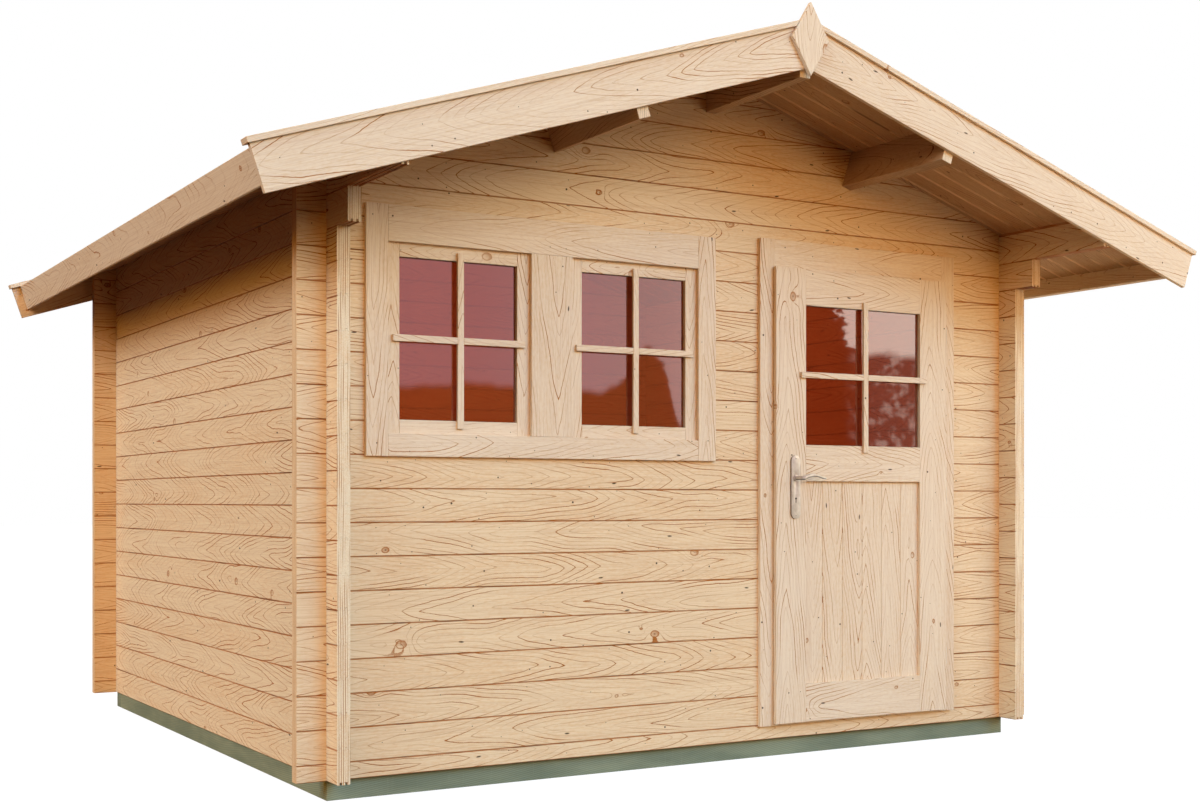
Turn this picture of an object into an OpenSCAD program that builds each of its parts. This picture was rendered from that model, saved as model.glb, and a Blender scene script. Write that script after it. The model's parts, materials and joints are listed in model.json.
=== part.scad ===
// Garden house built of interlocking logs, with a gable roof, a double window and a hinged door.
// Millimetres. X runs along the front wall, +Y towards the back, +Z up.
// The origin is on the ground under the middle of the walls.

/* [Walls] */
// Outside width of the walls, along the front
house_w = 3000; // [2700:10:3400]
// Outside depth of the walls, front to back
house_d = 3000; // [2400:10:3600]
// Thickness of a log
log_t = 45; // [34:1:60]
// Height of one log, tongue not counted
log_h = 113; // [112:0.5:116]
// Number of full logs over the door, below the gable
logs_over_door = 1; // [1:1:3]
// How far the log ends stand out beyond the crossing wall
log_overhang = 100; // [60:5:140]
// How far the last log but one of a side wall stands out in front
bracket_overhang = 200; // [140:10:300]
// Width of a tongue
tongue_w = 7.4; // [6:0.1:8]
// Height of a tongue
tongue_h = 8; // [5:0.5:10]
// Bevel along the edges of a log
log_bevel = 2.5; // [1:0.5:4]

/* [Base] */
// Height of the bearers under the walls
bearer_h = 70; // [45:5:100]
// Width of a bearer
bearer_w = 70; // [45:5:100]
// How far the bearers stand back from the front and back walls
bearer_set_back_y = 25; // [5:1:30]
// How far the bearers stand back from the side walls
bearer_set_back_x = 10; // [5:1:30]
// Width of a floor joist
joist_w = 45; // [35:5:70]
// Number of floor joists
joist_count = 5; // [3:2:9]
// Thickness of the floor boards
floor_t = 19; // [16:1:28]
// Gap between the floor and the walls
floor_gap = 5; // [2:1:10]

/* [Roof] */
// Slope of the roof in degrees
roof_pitch = 18.2; // [15:0.1:22]
// How far the roof reaches beyond the front wall
roof_front = 600; // [300:10:800]
// How far the roof reaches beyond the back wall
roof_back = 100; // [100:10:400]
// Thickness of the roof boards
roof_t = 19; // [16:1:28]
// Length of the roof boards, down the slope
roof_board_len = 1980; // [1750:10:2500]
// Depth of a purlin
purlin_h = 145; // [120:5:160]
// Width of a purlin
purlin_w = 45; // [40:1:70]
// Distance of the middle purlins from the ridge, down the slope
purlin_s = 723; // [600:1:800]
// Thickness of the bargeboards
bargeboard_t = 18; // [16:1:28]
// Width of the bargeboards
bargeboard_w = 144; // [130:1:180]
// How far the bargeboards stand up above the underside of the roof boards
bargeboard_rise = 35; // [25:1:50]
// How far the bargeboards run past the outer face of the eave boards
bargeboard_past = 35; // [5:1:60]
// Thickness of the cover strip on a bargeboard
strip_t = 18; // [12:1:28]
// Width of the cover strip
strip_w = 55; // [40:1:80]
// How far the cover strip stands out in front of its bargeboard
strip_lip = 13; // [5:1:17]
// How far the cover strip runs past the end of its bargeboard
strip_past = 8; // [0:1:20]
// Width of the eave boards
eave_board_w = 111; // [90:1:140]
// Thickness of the eave boards
eave_board_t = 18; // [16:1:28]
// Width of the ridge finial, corner to corner
finial_w = 156; // [100:1:200]
// Height of the ridge finial, corner to corner
finial_h = 256; // [180:1:320]
// How far the middle of the finial lies below the ridge of the boards' underside
finial_drop = 18; // [0:1:60]

/* [Window] */
// Distance of the window casing from the outside of the left wall
window_inset = 130; // [110:5:200]
// Width of log wall that shows between the window and the door
wall_between = 203; // [150:1:260]
// Number of logs under the window, the half log at the bottom not counted
logs_under_window = 9; // [7:1:9]
// How far the window casing laps down over the uppermost of them
window_drop = 5; // [0:1:20]
// Height of a light of the window casing
light_h = 642.5; // [600:0.5:660]
// Width of the side and bottom casing boards
window_casing_w = 77; // [60:1:90]
// Width of the top casing board
window_head_w = 121.5; // [100:0.5:140]
// Width of the casing board between the lights
window_post_w = 162; // [120:1:200]
// Width of the sash that shows between the casing and the pane
sash_show = 47; // [35:1:70]
// Thickness of a sash
sash_t = 34; // [28:1:45]
// Thickness of the boards that case the window and the door
casing_t = 18; // [12:1:25]

/* [Door] */
// Distance of the middle of the door from the outside of the right wall
door_inset = 800; // [720:5:900]
// Width of the door leaf over its rebate
leaf_w = 856; // [750:1:900]
// Height of the door leaf over its rebate
leaf_h = 1760; // [1650:1:1775]
// Height of the leaf's lower edge above the bottom log
leaf_rise = 4; // [3:0.5:8]
// Thickness of the door leaf
leaf_t = 40; // [36:1:50]
// Thickness of the leaf's rebated rim
leaf_rim_t = 17; // [14:1:22]
// Width of the leaf's rebate
leaf_rebate = 15; // [12:1:20]
// Width of the stiles, the top rail and the middle rail
rail_w = 141; // [100:1:150]
// Width of the bottom rail
bottom_rail_w = 147; // [120:1:200]
// Height of the pane that shows in the door
door_pane_h = 543; // [450:1:600]
// Clearance between the leaf and what it closes against
leaf_gap = 5; // [5:0.5:8]
// Width of the door casing boards
door_casing_w = 67; // [55:1:80]
// Width of the top board of the door casing
door_head_w = 117.5; // [100:0.5:130]
// Radius of a hinge barrel
hinge_r = 6; // [5:0.5:7]
// Radius of a hinge pin
hinge_pin_r = 3; // [2.5:0.5:3.5]
// Length of one half of a hinge barrel
hinge_half = 35; // [25:1:45]
// Length of the stem that holds a hinge in the leaf
hinge_stem = 30; // [20:1:45]
// How far the inside lever and the outside lever reach along the leaf
lever_len = 112; // [90:1:130]
// How far a lever stands off the handle plate
lever_reach = 46; // [40:1:55]
// Width of a handle plate
plate_w = 42; // [34:1:50]
// Height of a handle plate
plate_h = 245; // [200:1:260]
// Thickness of a handle plate
plate_t = 2.5; // [1.5:0.5:4]
// Height of the lever above the lower edge of the leaf
lever_up = 947; // [900:1:1000]
// Distance of the lever's axis from the edge of the leaf
lever_in = 88; // [60:1:100]
// How far the handle plate reaches below the lever's axis
plate_down = 157.5; // [120:0.5:170]
// Distance of the outer hinges from the ends of the leaf
hinge_inset = 220; // [120:5:300]

/* [Hidden] */

// Clearance of pieces that are seated on or beside each other, and cut round the finials
seat = 0.3;
finial_gap = 1.2;
// Running clearance of a shaft in its bore
running = 0.08;

pine = [0.87, 0.70, 0.50];
pale_pine = [0.92, 0.80, 0.64];
green_timber = [0.45, 0.50, 0.40];
glass = [0.55, 0.25, 0.18, 0.5];
steel = [0.72, 0.72, 0.72];

wall_x = house_w / 2;
wall_y = house_d / 2;
door_x = wall_x - door_inset;
notch_h = log_h / 4;
// Where the middles of the two tongues lie across the log
tongue_at = [0.3 * log_t, 0.7 * log_t];
groove_w = tongue_w + 2 * seat;
groove_h = tongue_h + 2 * seat;

// Front and back walls start with a half log, so their joints lie half a log off the side walls'
half_log_h = log_h / 2;
function cross_log_z(i) = bearer_h + half_log_h + i * log_h;

// The lip of a sash or of the leaf stands this deep in front of what it holds
lip_t = 15;
pane_t = 4;
pane_lap = 8;

// Door, from the outside in
leaf_front = -wall_y - casing_t - leaf_gap - leaf_rim_t;
leaf_back = leaf_front + leaf_t;
leaf_z = cross_log_z(0) + leaf_rise;
leaf_x0 = door_x - leaf_w / 2;
leaf_x1 = door_x + leaf_w / 2;
leaf_top = leaf_z + leaf_h;
// The rebated rim laps over the casing, and the core behind it fits between the jambs
core_x0 = leaf_x0 + leaf_rebate;
core_x1 = leaf_x1 - leaf_rebate;
core_z0 = leaf_z + leaf_rebate;
core_z1 = leaf_top - leaf_rebate;
// Beside the leaf there is a little more room than above and below it
side_gap = leaf_gap + 2;
way_x0 = core_x0 - side_gap;
way_x1 = core_x1 + side_gap;
way_z0 = core_z0 - leaf_gap;
way_z1 = core_z1 + leaf_gap;
stop_y = leaf_back + leaf_gap;
stop_w = 13;
jamb_t = 40;
door_cut_x0 = way_x0 - jamb_t;
door_cut_x1 = way_x1 + jamb_t;
door_cut_z0 = cross_log_z(0);
// Index of the first log that runs over the door
door_top_log = ceil((way_z1 + stop_w - door_cut_z0) / log_h);
door_cut_z1 = cross_log_z(door_top_log);
door_casing_top = way_z1 + door_head_w;
door_light_x0 = leaf_x0 + rail_w;
door_light_x1 = leaf_x1 - rail_w;
pane_z1 = leaf_top - rail_w;
pane_z0 = pane_z1 - door_pane_h;
panel_z1 = pane_z0 - rail_w;
panel_z0 = leaf_z + bottom_rail_w;

hinge_x = leaf_x1 + hinge_r + 1;
hinge_y = -wall_y - casing_t - hinge_r - 1;
hinge_z = [leaf_z + hinge_inset, leaf_z + leaf_h / 2, leaf_top - hinge_inset];
// The stem in the leaf lies in the thick of its rim, in front of the pin
hinge_stem_y = hinge_y - 4;

lever_x = leaf_x0 + lever_in;
lever_z = leaf_z + lever_up;
lever_r = 8;
spindle_r = 4;
spindle_end = 10;
plate_z = lever_z - plate_down;
// The grip rises this much between the neck and the tip
lever_arch = 12;

// Index of the last log of a front or back wall that runs at full height from corner to corner
top_full = door_top_log + logs_over_door - 1;
side_logs = top_full + 2;
wall_top = bearer_h + side_logs * log_h;

// Window, from the outside in. The two lights share the width that the door leaves.
window_left = -wall_x + window_inset;
window_right = way_x0 - door_casing_w - wall_between;
light_w = (window_right - window_left - 2 * window_casing_w - window_post_w) / 2;
light_z = cross_log_z(logs_under_window) - window_drop + window_casing_w;
light_x = [window_left + window_casing_w, window_right - window_casing_w - light_w];
// The casing laps over the frame by this much, and the frame over the sash
window_lap = 10;
window_frame_t = 30;
sash_w = light_w + 2 * window_lap;
sash_h = light_h + 2 * window_lap;
sash_pane_w = light_w - 2 * sash_show;
sash_pane_h = light_h - 2 * sash_show;
window_cut_x0 = light_x[0] - window_lap - seat - window_frame_t;
window_cut_x1 = light_x[1] + light_w + window_lap + seat + window_frame_t;
window_cut_z0 = light_z - window_lap - seat - window_frame_t;
window_cut_z1 = light_z + light_h + window_lap + seat + window_frame_t;
// Where the window's lower and upper edges lie in the rows of logs
window_low_log = floor((window_cut_z0 - cross_log_z(0)) / log_h);
window_high_log = floor((window_cut_z1 - cross_log_z(0)) / log_h);

slope_run = tan(roof_pitch);
ridge_under = wall_top + wall_x * slope_run;
function roof_under(x) = ridge_under - abs(x) * slope_run;
roof_y0 = -wall_y - roof_front;
roof_y1 = wall_y + roof_back;
eave_s = roof_board_len + seat + eave_board_t;
bargeboard_s = eave_s + bargeboard_past;
bargeboard_low = bargeboard_rise - bargeboard_w;
// Outer faces of the bargeboards
front_face = roof_y0 - seat - bargeboard_t;
back_face = roof_y1 + seat + bargeboard_t;
// A point of the right-hand slope: s down the slope from the ridge, n above the boards' underside
function slope_point(s, n) = [
  s * cos(roof_pitch) + n * sin(roof_pitch),
  ridge_under - s * sin(roof_pitch) + n * cos(roof_pitch)
];
// How far down the slope a board at height n meets its neighbour at the ridge
function mitre_s(n) = (seat / 2 - n * sin(roof_pitch)) / cos(roof_pitch);

gable_logs = ceil((ridge_under - cross_log_z(top_full + 1)) / log_h);
reach = 3 * max(house_w, house_d);

// ---------- helpers ----------

// A box between two corners
module box(low, high) {
  translate(low) cube(high - low);
}

// A flat outline in X and Z, made solid from y0 to y1
module along_y(y0, y1) {
  translate([0, y1, 0]) rotate([90, 0, 0]) linear_extrude(y1 - y0) children();
}

// A round bar or hole that runs back along Y
module bore(r, length) {
  rotate([-90, 0, 0]) cylinder(h = length, r = r, $fn = 48);
}

// A flat outline in Y and Z, made solid from x0 to x1
module along_x(x0, x1) {
  translate([x0, 0, 0]) rotate([90, 0, 90]) linear_extrude(x1 - x0) children();
}

// Outline of a log: double tongue on top, double groove below, all four edges bevelled
module log_outline(h, grooves = true) {
  difference() {
    union() {
      polygon([
        [0, log_bevel], [log_bevel, 0], [log_t - log_bevel, 0], [log_t, log_bevel],
        [log_t, h - log_bevel], [log_t - log_bevel, h], [log_bevel, h], [0, h - log_bevel]
      ]);
      for (t = tongue_at)
        translate([t - tongue_w / 2, h - 1]) square([tongue_w, tongue_h + 1]);
    }
    if (grooves)
      for (t = tongue_at)
        translate([t - groove_w / 2, -1]) square([groove_w, groove_h + 1]);
  }
}

// A log of the front or back wall, its face of lower Y at y, from x0 to x1. At both corners it is
// notched above and below for the side walls' logs; the half log at the bottom is notched above only.
module cross_log(y, x0, x1, z, h = log_h - seat, half = false) {
  difference() {
    along_x(x0, x1) translate([y, z]) log_outline(h, !half);
    along_y(y - 1, y + log_t + 1) translate([0, z])
      for (x = [-wall_x, wall_x - log_t]) {
        if (!half) translate([x - seat, -1]) square([log_t + 2 * seat, notch_h + 1]);
        translate([x - seat, h + seat - notch_h]) square([log_t + 2 * seat, notch_h + tongue_h + 1]);
      }
  }
}

// A log of a side wall, its left face at x, from y0 to y1, notched for the front and back walls' logs
module side_log(x, y0, y1, z, h = log_h - seat) {
  difference() {
    along_y(y0, y1) translate([x, z]) log_outline(h);
    along_x(x - 1, x + log_t + 1) translate([0, z])
      for (y = [-wall_y, wall_y - log_t]) {
        translate([y - seat, -1]) square([log_t + 2 * seat, notch_h + 1]);
        translate([y - seat, log_h - notch_h]) square([log_t + 2 * seat, log_h]);
      }
  }
}

// Everything below the roof boards
module under_roof() {
  along_y(-reach, reach) polygon([
    [-reach, 0], [reach, 0], [reach, roof_under(reach) - seat],
    [0, ridge_under - seat], [-reach, roof_under(reach) - seat]
  ]);
}

// A board that lies along the right-hand slope, from the ridge to s1 and from n0 to n1 above the underside
module slope_board(s1, n0, n1, y0, y1) {
  along_y(y0, y1) polygon([
    slope_point(mitre_s(n0), n0), slope_point(s1, n0), slope_point(s1, n1), slope_point(mitre_s(n1), n1)
  ]);
}

// The same pieces on the left-hand slope when side is -1
module on_side(side) {
  mirror([side < 0 ? 1 : 0, 0, 0]) children();
}

// A middle purlin, square to the right-hand slope, larger all round by grow
module mid_purlin_body(y0, y1, grow = 0) {
  s0 = purlin_s - purlin_w / 2 - grow;
  s1 = purlin_s + purlin_w / 2 + grow;
  n0 = -purlin_h - grow;
  n1 = grow > 0 ? roof_t : -seat;
  along_y(y0, y1)
    polygon([slope_point(s0, n0), slope_point(s1, n0), slope_point(s1, n1), slope_point(s0, n1)]);
}

// The ridge purlin, upright, larger all round by grow
module ridge_purlin_body(y0, y1, grow = 0) {
  half = purlin_w / 2 + grow;
  low = ridge_under - purlin_h - grow;
  top = grow > 0 ? ridge_under + roof_t : roof_under(half) - seat;
  peak = grow > 0 ? top : ridge_under - seat;
  along_y(y0, y1) polygon([[-half, low], [half, low], [half, top], [0, peak], [-half, top]]);
}

module purlin_seats() {
  ridge_purlin_body(-reach, reach, seat);
  for (side = [-1, 1]) on_side(side) mid_purlin_body(-reach, reach, seat);
}

// ---------- base ----------

module cross_bearers() {
  color(green_timber)
    for (y = [-wall_y + bearer_set_back_y, wall_y - bearer_set_back_y - bearer_w])
      box([-wall_x + bearer_set_back_x, y, 0],
          [wall_x - bearer_set_back_x, y + bearer_w, bearer_h]);
}

module side_bearers() {
  y1 = wall_y - bearer_set_back_y - bearer_w - seat;
  color(green_timber)
    for (x = [-wall_x + bearer_set_back_x, wall_x - bearer_set_back_x - bearer_w])
      box([x, -y1, 0], [x + bearer_w, y1, bearer_h]);
}

module floor_joists() {
  x1 = wall_x - bearer_set_back_x - bearer_w - seat;
  y1 = wall_y - bearer_set_back_y - bearer_w;
  pitch = 2 * y1 / (joist_count + 1);
  color(green_timber)
    for (i = [1 : joist_count])
      box([-x1, -y1 + i * pitch - joist_w / 2, 0], [x1, -y1 + i * pitch + joist_w / 2, bearer_h]);
}

module floor_deck() {
  x1 = wall_x - log_t - floor_gap;
  y1 = wall_y - log_t - floor_gap;
  color(pale_pine) box([-x1, -y1, bearer_h], [x1, y1, bearer_h + floor_t]);
}

// ---------- log walls ----------

// The logs of a side wall that end at the common overhang
module side_wall_logs(x) {
  y1 = wall_y + log_overhang;
  for (i = [0 : side_logs - 3])
    side_log(x, -y1, y1, bearer_h + i * log_h);
}

// The last two logs of a side wall: the bracket log, and the eave log that carries the roof
module side_eave_logs(x) {
  y1 = wall_y + log_overhang;
  side_log(x, -wall_y - bracket_overhang, y1, bearer_h + (side_logs - 2) * log_h);
  intersection() {
    side_log(x, roof_y0, y1, bearer_h + (side_logs - 1) * log_h, log_h + log_t * slope_run + tongue_h);
    under_roof();
  }
}

module left_wall_logs() { color(pine) side_wall_logs(-wall_x); }
module right_wall_logs() { color(pine) side_wall_logs(wall_x - log_t); }
module left_eave_logs() { color(pine) side_eave_logs(-wall_x); }
module right_eave_logs() { color(pine) side_eave_logs(wall_x - log_t); }

module half_log(y) {
  x1 = wall_x + log_overhang;
  cross_log(y, -x1, x1, bearer_h, half_log_h - seat, half = true);
}

// The gable above the full logs, cut to the roof and notched for the purlins
module gable_logs_at(y) {
  x1 = wall_x + log_overhang;
  difference() {
    for (i = [top_full + 1 : top_full + gable_logs])
      intersection() {
        cross_log(y, -x1, x1, cross_log_z(i));
        under_roof();
      }
    purlin_seats();
  }
}

module back_wall_logs() {
  x1 = wall_x + log_overhang;
  y = wall_y - log_t;
  color(pine) {
    half_log(y);
    for (i = [0 : top_full]) cross_log(y, -x1, x1, cross_log_z(i));
  }
}

module back_gable_logs() { color(pine) gable_logs_at(wall_y - log_t); }
module front_gable_logs() { color(pine) gable_logs_at(-wall_y); }

// The bottom log of the front wall, its tongues cut away under the door frame
module front_sill_log() {
  color(pine) difference() {
    half_log(-wall_y);
    box([door_cut_x0 - seat, -wall_y - 1, door_cut_z0 - seat],
        [door_cut_x1 + seat, -wall_y + log_t + 1, door_cut_z0 + log_h]);
  }
}

module window_cut() {
  box([window_cut_x0 - seat, -wall_y - 1, window_cut_z0 - seat],
      [window_cut_x1 + seat, -wall_y + log_t + 1, window_cut_z1 + seat]);
}

module front_logs_below_window() {
  color(pine) difference() {
    for (i = [0 : window_low_log])
      cross_log(-wall_y, -wall_x - log_overhang, door_cut_x0 - seat, cross_log_z(i));
    window_cut();
  }
}

module front_logs_beside_window() {
  color(pine)
    for (i = [window_low_log + 1 : 1 : window_high_log - 1]) {
      cross_log(-wall_y, -wall_x - log_overhang, window_cut_x0 - seat, cross_log_z(i));
      cross_log(-wall_y, window_cut_x1 + seat, door_cut_x0 - seat, cross_log_z(i));
    }
}

module front_logs_right_of_door() {
  color(pine)
    for (i = [0 : door_top_log - 1])
      cross_log(-wall_y, door_cut_x1 + seat, wall_x + log_overhang, cross_log_z(i));
}

module front_top_logs() {
  x1 = wall_x + log_overhang;
  color(pine) difference() {
    union() {
      for (i = [window_high_log : 1 : door_top_log - 1])
        cross_log(-wall_y, -x1, door_cut_x0 - seat, cross_log_z(i));
      for (i = [door_top_log : 1 : top_full]) cross_log(-wall_y, -x1, x1, cross_log_z(i));
    }
    window_cut();
  }
}

// ---------- roof ----------

module ridge_purlin() {
  color(pine) ridge_purlin_body(roof_y0, roof_y1);
}

module mid_purlins() {
  color(pine) for (side = [-1, 1]) on_side(side) mid_purlin_body(roof_y0, roof_y1);
}

module roof_left() {
  color(pine) on_side(-1) slope_board(roof_board_len, 0, roof_t, roof_y0, roof_y1);
}

module roof_right() {
  color(pine) slope_board(roof_board_len, 0, roof_t, roof_y0, roof_y1);
}

// The two bargeboards of the right-hand slope, one at each end of the roof
module bargeboard_pair() {
  for (y0 = [roof_y0 - seat - bargeboard_t, roof_y1 + seat])
    slope_board(bargeboard_s, bargeboard_low, bargeboard_rise, y0, y0 + bargeboard_t);
}

module left_bargeboards() { color(pale_pine) on_side(-1) bargeboard_pair(); }
module right_bargeboards() { color(pale_pine) bargeboard_pair(); }

// Outline of the finial, larger all round by grow
module finial_outline(grow = 0) {
  mid_z = ridge_under - finial_drop;
  w = finial_w / 2 + grow;
  h = finial_h / 2 + grow * finial_h / finial_w;
  polygon([[-w, mid_z], [0, mid_z - h], [w, mid_z], [0, mid_z + h]]);
}

// The cover strips on the bargeboards of the right-hand slope, cut round the finials
module cover_strip_pair() {
  n0 = bargeboard_rise + seat;
  difference() {
    for (y0 = [front_face - strip_lip, back_face + strip_lip - strip_w])
      slope_board(bargeboard_s + strip_past, n0, n0 + strip_t, y0, y0 + strip_w);
    along_y(front_face - strip_w, front_face) finial_outline(finial_gap);
    along_y(back_face, back_face + strip_w) finial_outline(finial_gap);
  }
}

module left_cover_strips() { color(pale_pine) on_side(-1) cover_strip_pair(); }
module right_cover_strips() { color(pale_pine) cover_strip_pair(); }

module eave_boards() {
  s0 = roof_board_len + seat;
  n1 = bargeboard_rise;
  n0 = n1 - eave_board_w;
  color(pale_pine)
    for (side = [-1, 1]) on_side(side)
      along_y(roof_y0, roof_y1) polygon([
        slope_point(s0, n0), slope_point(eave_s, n0), slope_point(eave_s, n1), slope_point(s0, n1)
      ]);
}

module ridge_finials() {
  color(pale_pine) {
    along_y(front_face - bargeboard_t - seat, front_face - seat) finial_outline();
    along_y(back_face + seat, back_face + bargeboard_t + seat) finial_outline();
  }
}

// ---------- window ----------

// Boards round the lights of the window, the bottom and side ones side_w wide, the top one head_w.
// The side boards run past the top and bottom ones.
module window_boards(side_w, head_w, post_w, y0, y1) {
  x0 = light_x[0];
  x1 = light_x[1] + light_w;
  z0 = light_z - side_w;
  z1 = light_z + light_h;
  box([x0 - side_w, y0, z0], [x0, y1, z1 + head_w]);
  box([x1, y0, z0], [x1 + side_w, y1, z1 + head_w]);
  box([x0 + seat, y0, z0], [x1 - seat, y1, light_z]);
  box([x0 + seat, y0, z1], [x1 - seat, y1, z1 + head_w]);
  box([light_x[1] - post_w, y0, light_z + seat], [light_x[1], y1, z1 - seat]);
}

module window_casing() {
  color(pale_pine)
    window_boards(window_casing_w, window_head_w, window_post_w, -wall_y - casing_t, -wall_y - seat);
}

module window_trim() {
  y0 = -wall_y + log_t + seat;
  color(pale_pine)
    window_boards(window_casing_w, window_casing_w, window_post_w, y0, y0 + casing_t);
}

// The frame in the wall: sill, head, two jambs and a post, as deep as the logs
module window_frame() {
  y0 = -wall_y;
  y1 = -wall_y + log_t;
  x0 = window_cut_x0;
  x1 = window_cut_x1;
  z0 = light_z - window_lap - seat;
  z1 = light_z + light_h + window_lap + seat;
  post_x0 = light_x[0] + light_w + window_lap + seat;
  post_x1 = light_x[1] - window_lap - seat;
  color(pale_pine) {
    box([x0, y0, window_cut_z0], [x1, y1, z0]);
    box([x0, y0, z1], [x1, y1, window_cut_z1]);
    box([x0, y0, z0 + seat], [x0 + window_frame_t, y1, z1 - seat]);
    box([x1 - window_frame_t, y0, z0 + seat], [x1, y1, z1 - seat]);
    box([post_x0, y0, z0 + seat], [post_x1, y1, z1 - seat]);
  }
}

// One rail or stile of a sash: the lip in front holds the pane, and the rebate behind it is open
module sash(i) {
  x0 = light_x[i] - window_lap;
  x1 = x0 + sash_w;
  z0 = light_z - window_lap;
  z1 = z0 + sash_h;
  stile = (sash_w - sash_pane_w) / 2;
  rail = (sash_h - sash_pane_h) / 2;
  y0 = -wall_y + seat;
  color(pale_pine) difference() {
    union() {
      box([x0, y0, z0], [x0 + stile, y0 + sash_t, z1]);
      box([x1 - stile, y0, z0], [x1, y0 + sash_t, z1]);
      box([x0 + stile + seat, y0, z0], [x1 - stile - seat, y0 + sash_t, z0 + rail]);
      box([x0 + stile + seat, y0, z1 - rail], [x1 - stile - seat, y0 + sash_t, z1]);
    }
    box([x0 + stile - pane_lap, y0 + lip_t, z0 + rail - pane_lap],
        [x1 - stile + pane_lap, y0 + sash_t + 1, z1 - rail + pane_lap]);
  }
}

module left_sash() { sash(0); }
module right_sash() { sash(1); }

module window_panes() {
  y0 = -wall_y + lip_t + 2 * seat;
  mid_z = light_z + light_h / 2;
  color(glass)
    for (x = light_x) {
      mid_x = x + light_w / 2;
      w = sash_pane_w / 2 + pane_lap - seat;
      h = sash_pane_h / 2 + pane_lap - seat;
      box([mid_x - w, y0, mid_z - h], [mid_x + w, y0 + pane_t, mid_z + h]);
    }
}

// ---------- doorway ----------

// Jambs and head, each with the stop that the leaf closes against
module door_frame() {
  y0 = -wall_y;
  y1 = -wall_y + log_t;
  color(pale_pine) difference() {
    union() {
      box([door_cut_x0, y0, door_cut_z0 + seat], [way_x0 + stop_w, y1, door_cut_z1 - seat]);
      box([way_x1 - stop_w, y0, door_cut_z0 + seat], [door_cut_x1, y1, door_cut_z1 - seat]);
      box([way_x0 + stop_w + seat, y0, way_z1 - stop_w], [way_x1 - stop_w - seat, y1, door_cut_z1 - seat]);
    }
    box([way_x0, y0 - 1, way_z0], [way_x1, stop_y, way_z1]);
  }
}

module door_threshold() {
  inset = stop_w + seat;
  color(pale_pine)
    box([way_x0 + inset, -wall_y, door_cut_z0 + seat], [way_x1 - inset, -wall_y + log_t, way_z0]);
}

module door_casing() {
  y0 = -wall_y - casing_t;
  y1 = -wall_y - seat;
  z0 = way_z0 - casing_t;
  color(pale_pine) difference() {
    union() {
      box([way_x0 - door_casing_w, y0, z0], [way_x0, y1, door_casing_top]);
      box([way_x1, y0, z0], [way_x1 + door_casing_w, y1, door_casing_top]);
      box([way_x0 + seat, y0, way_z1], [way_x1 - seat, y1, door_casing_top]);
      box([way_x0 + seat, y0, z0], [way_x1 - seat, y1, way_z0]);
    }
    for (z = hinge_z) translate([hinge_x, y0 - 1, z - hinge_half / 2]) bore(hinge_pin_r + seat, casing_t + 2);
  }
}

// Boards on the inside of the doorway
module door_trim() {
  y0 = -wall_y + log_t + seat;
  y1 = y0 + casing_t;
  x0 = way_x0 + stop_w;
  x1 = way_x1 - stop_w;
  z0 = bearer_h + floor_t + seat;
  z1 = way_z1 - stop_w;
  top = door_casing_top;
  color(pale_pine) {
    box([x0 - door_casing_w, y0, z0], [x0, y1, top]);
    box([x1, y0, z0], [x1 + door_casing_w, y1, top]);
    box([x0 + seat, y0, z1], [x1 - seat, y1, top]);
  }
}

// ---------- door leaf ----------

// The outline of the leaf as a solid: a rim that laps over the casing, and a core that fits the doorway
module leaf_block() {
  box([leaf_x0, leaf_front, leaf_z], [leaf_x1, leaf_front + leaf_rim_t, leaf_top]);
  box([core_x0, leaf_front + leaf_rim_t - 1, core_z0], [core_x1, leaf_back, core_z1]);
}

// A light of the leaf, open through the lip and wider behind it for the pane or panel
module leaf_light(z0, z1) {
  box([door_light_x0, leaf_front - 1, z0], [door_light_x1, leaf_back + 1, z1]);
  box([door_light_x0 - pane_lap, leaf_front + lip_t, z0 - pane_lap],
      [door_light_x1 + pane_lap, leaf_back + 1, z1 + pane_lap]);
}

module leaf_lights() {
  leaf_light(pane_z0, pane_z1);
  leaf_light(panel_z0, panel_z1);
}

module door_stiles() {
  color(pale_pine) difference() {
    intersection() {
      leaf_block();
      union() {
        box([leaf_x0 - 1, leaf_front - 1, 0], [door_light_x0, leaf_back + 1, leaf_top + 1]);
        box([door_light_x1, leaf_front - 1, 0], [leaf_x1 + 1, leaf_back + 1, leaf_top + 1]);
      }
    }
    leaf_lights();
    translate([lever_x, leaf_front - 1, lever_z]) bore(lever_r + 1, leaf_t + 2);
    // Holes for the stems of the hinges
    for (z = hinge_z)
      translate([leaf_x1 + 1, hinge_stem_y, z + hinge_half / 2])
        rotate([0, -90, 0]) cylinder(h = hinge_stem + 1 + seat, r = hinge_pin_r + seat, $fn = 32);
  }
}

module door_rails() {
  color(pale_pine) difference() {
    intersection() {
      leaf_block();
      for (z = [[leaf_z - 1, panel_z0], [panel_z1, pane_z0], [pane_z1, leaf_top + 1]])
        box([door_light_x0 + seat, leaf_front - 1, z[0]], [door_light_x1 - seat, leaf_back + 1, z[1]]);
    }
    leaf_lights();
  }
}

// What fills a light: a sheet t thick behind the lip
module leaf_filling(z0, z1, t) {
  y0 = leaf_front + lip_t + seat;
  lap = pane_lap - seat;
  box([door_light_x0 - lap, y0, z0 - lap], [door_light_x1 + lap, y0 + t, z1 + lap]);
}

module door_panel() { color(pale_pine) leaf_filling(panel_z0, panel_z1, lip_t); }
module door_pane() { color(glass) leaf_filling(pane_z0, pane_z1, pane_t); }

module handle_plates() {
  r = plate_w / 2;
  bore = lever_r + running;
  color(steel)
    for (y0 = [leaf_front - plate_t - seat / 2, leaf_back + seat / 2])
      along_y(y0, y0 + plate_t) difference() {
        union() {
          translate([lever_x - r, plate_z + r]) square([plate_w, plate_h - 2 * r]);
          translate([lever_x, plate_z + r]) circle(r = r, $fn = 64);
          translate([lever_x, plate_z + plate_h - r]) circle(r = r, $fn = 64);
        }
        translate([lever_x, lever_z]) circle(r = bore, $fn = 64);
      }
}

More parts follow.
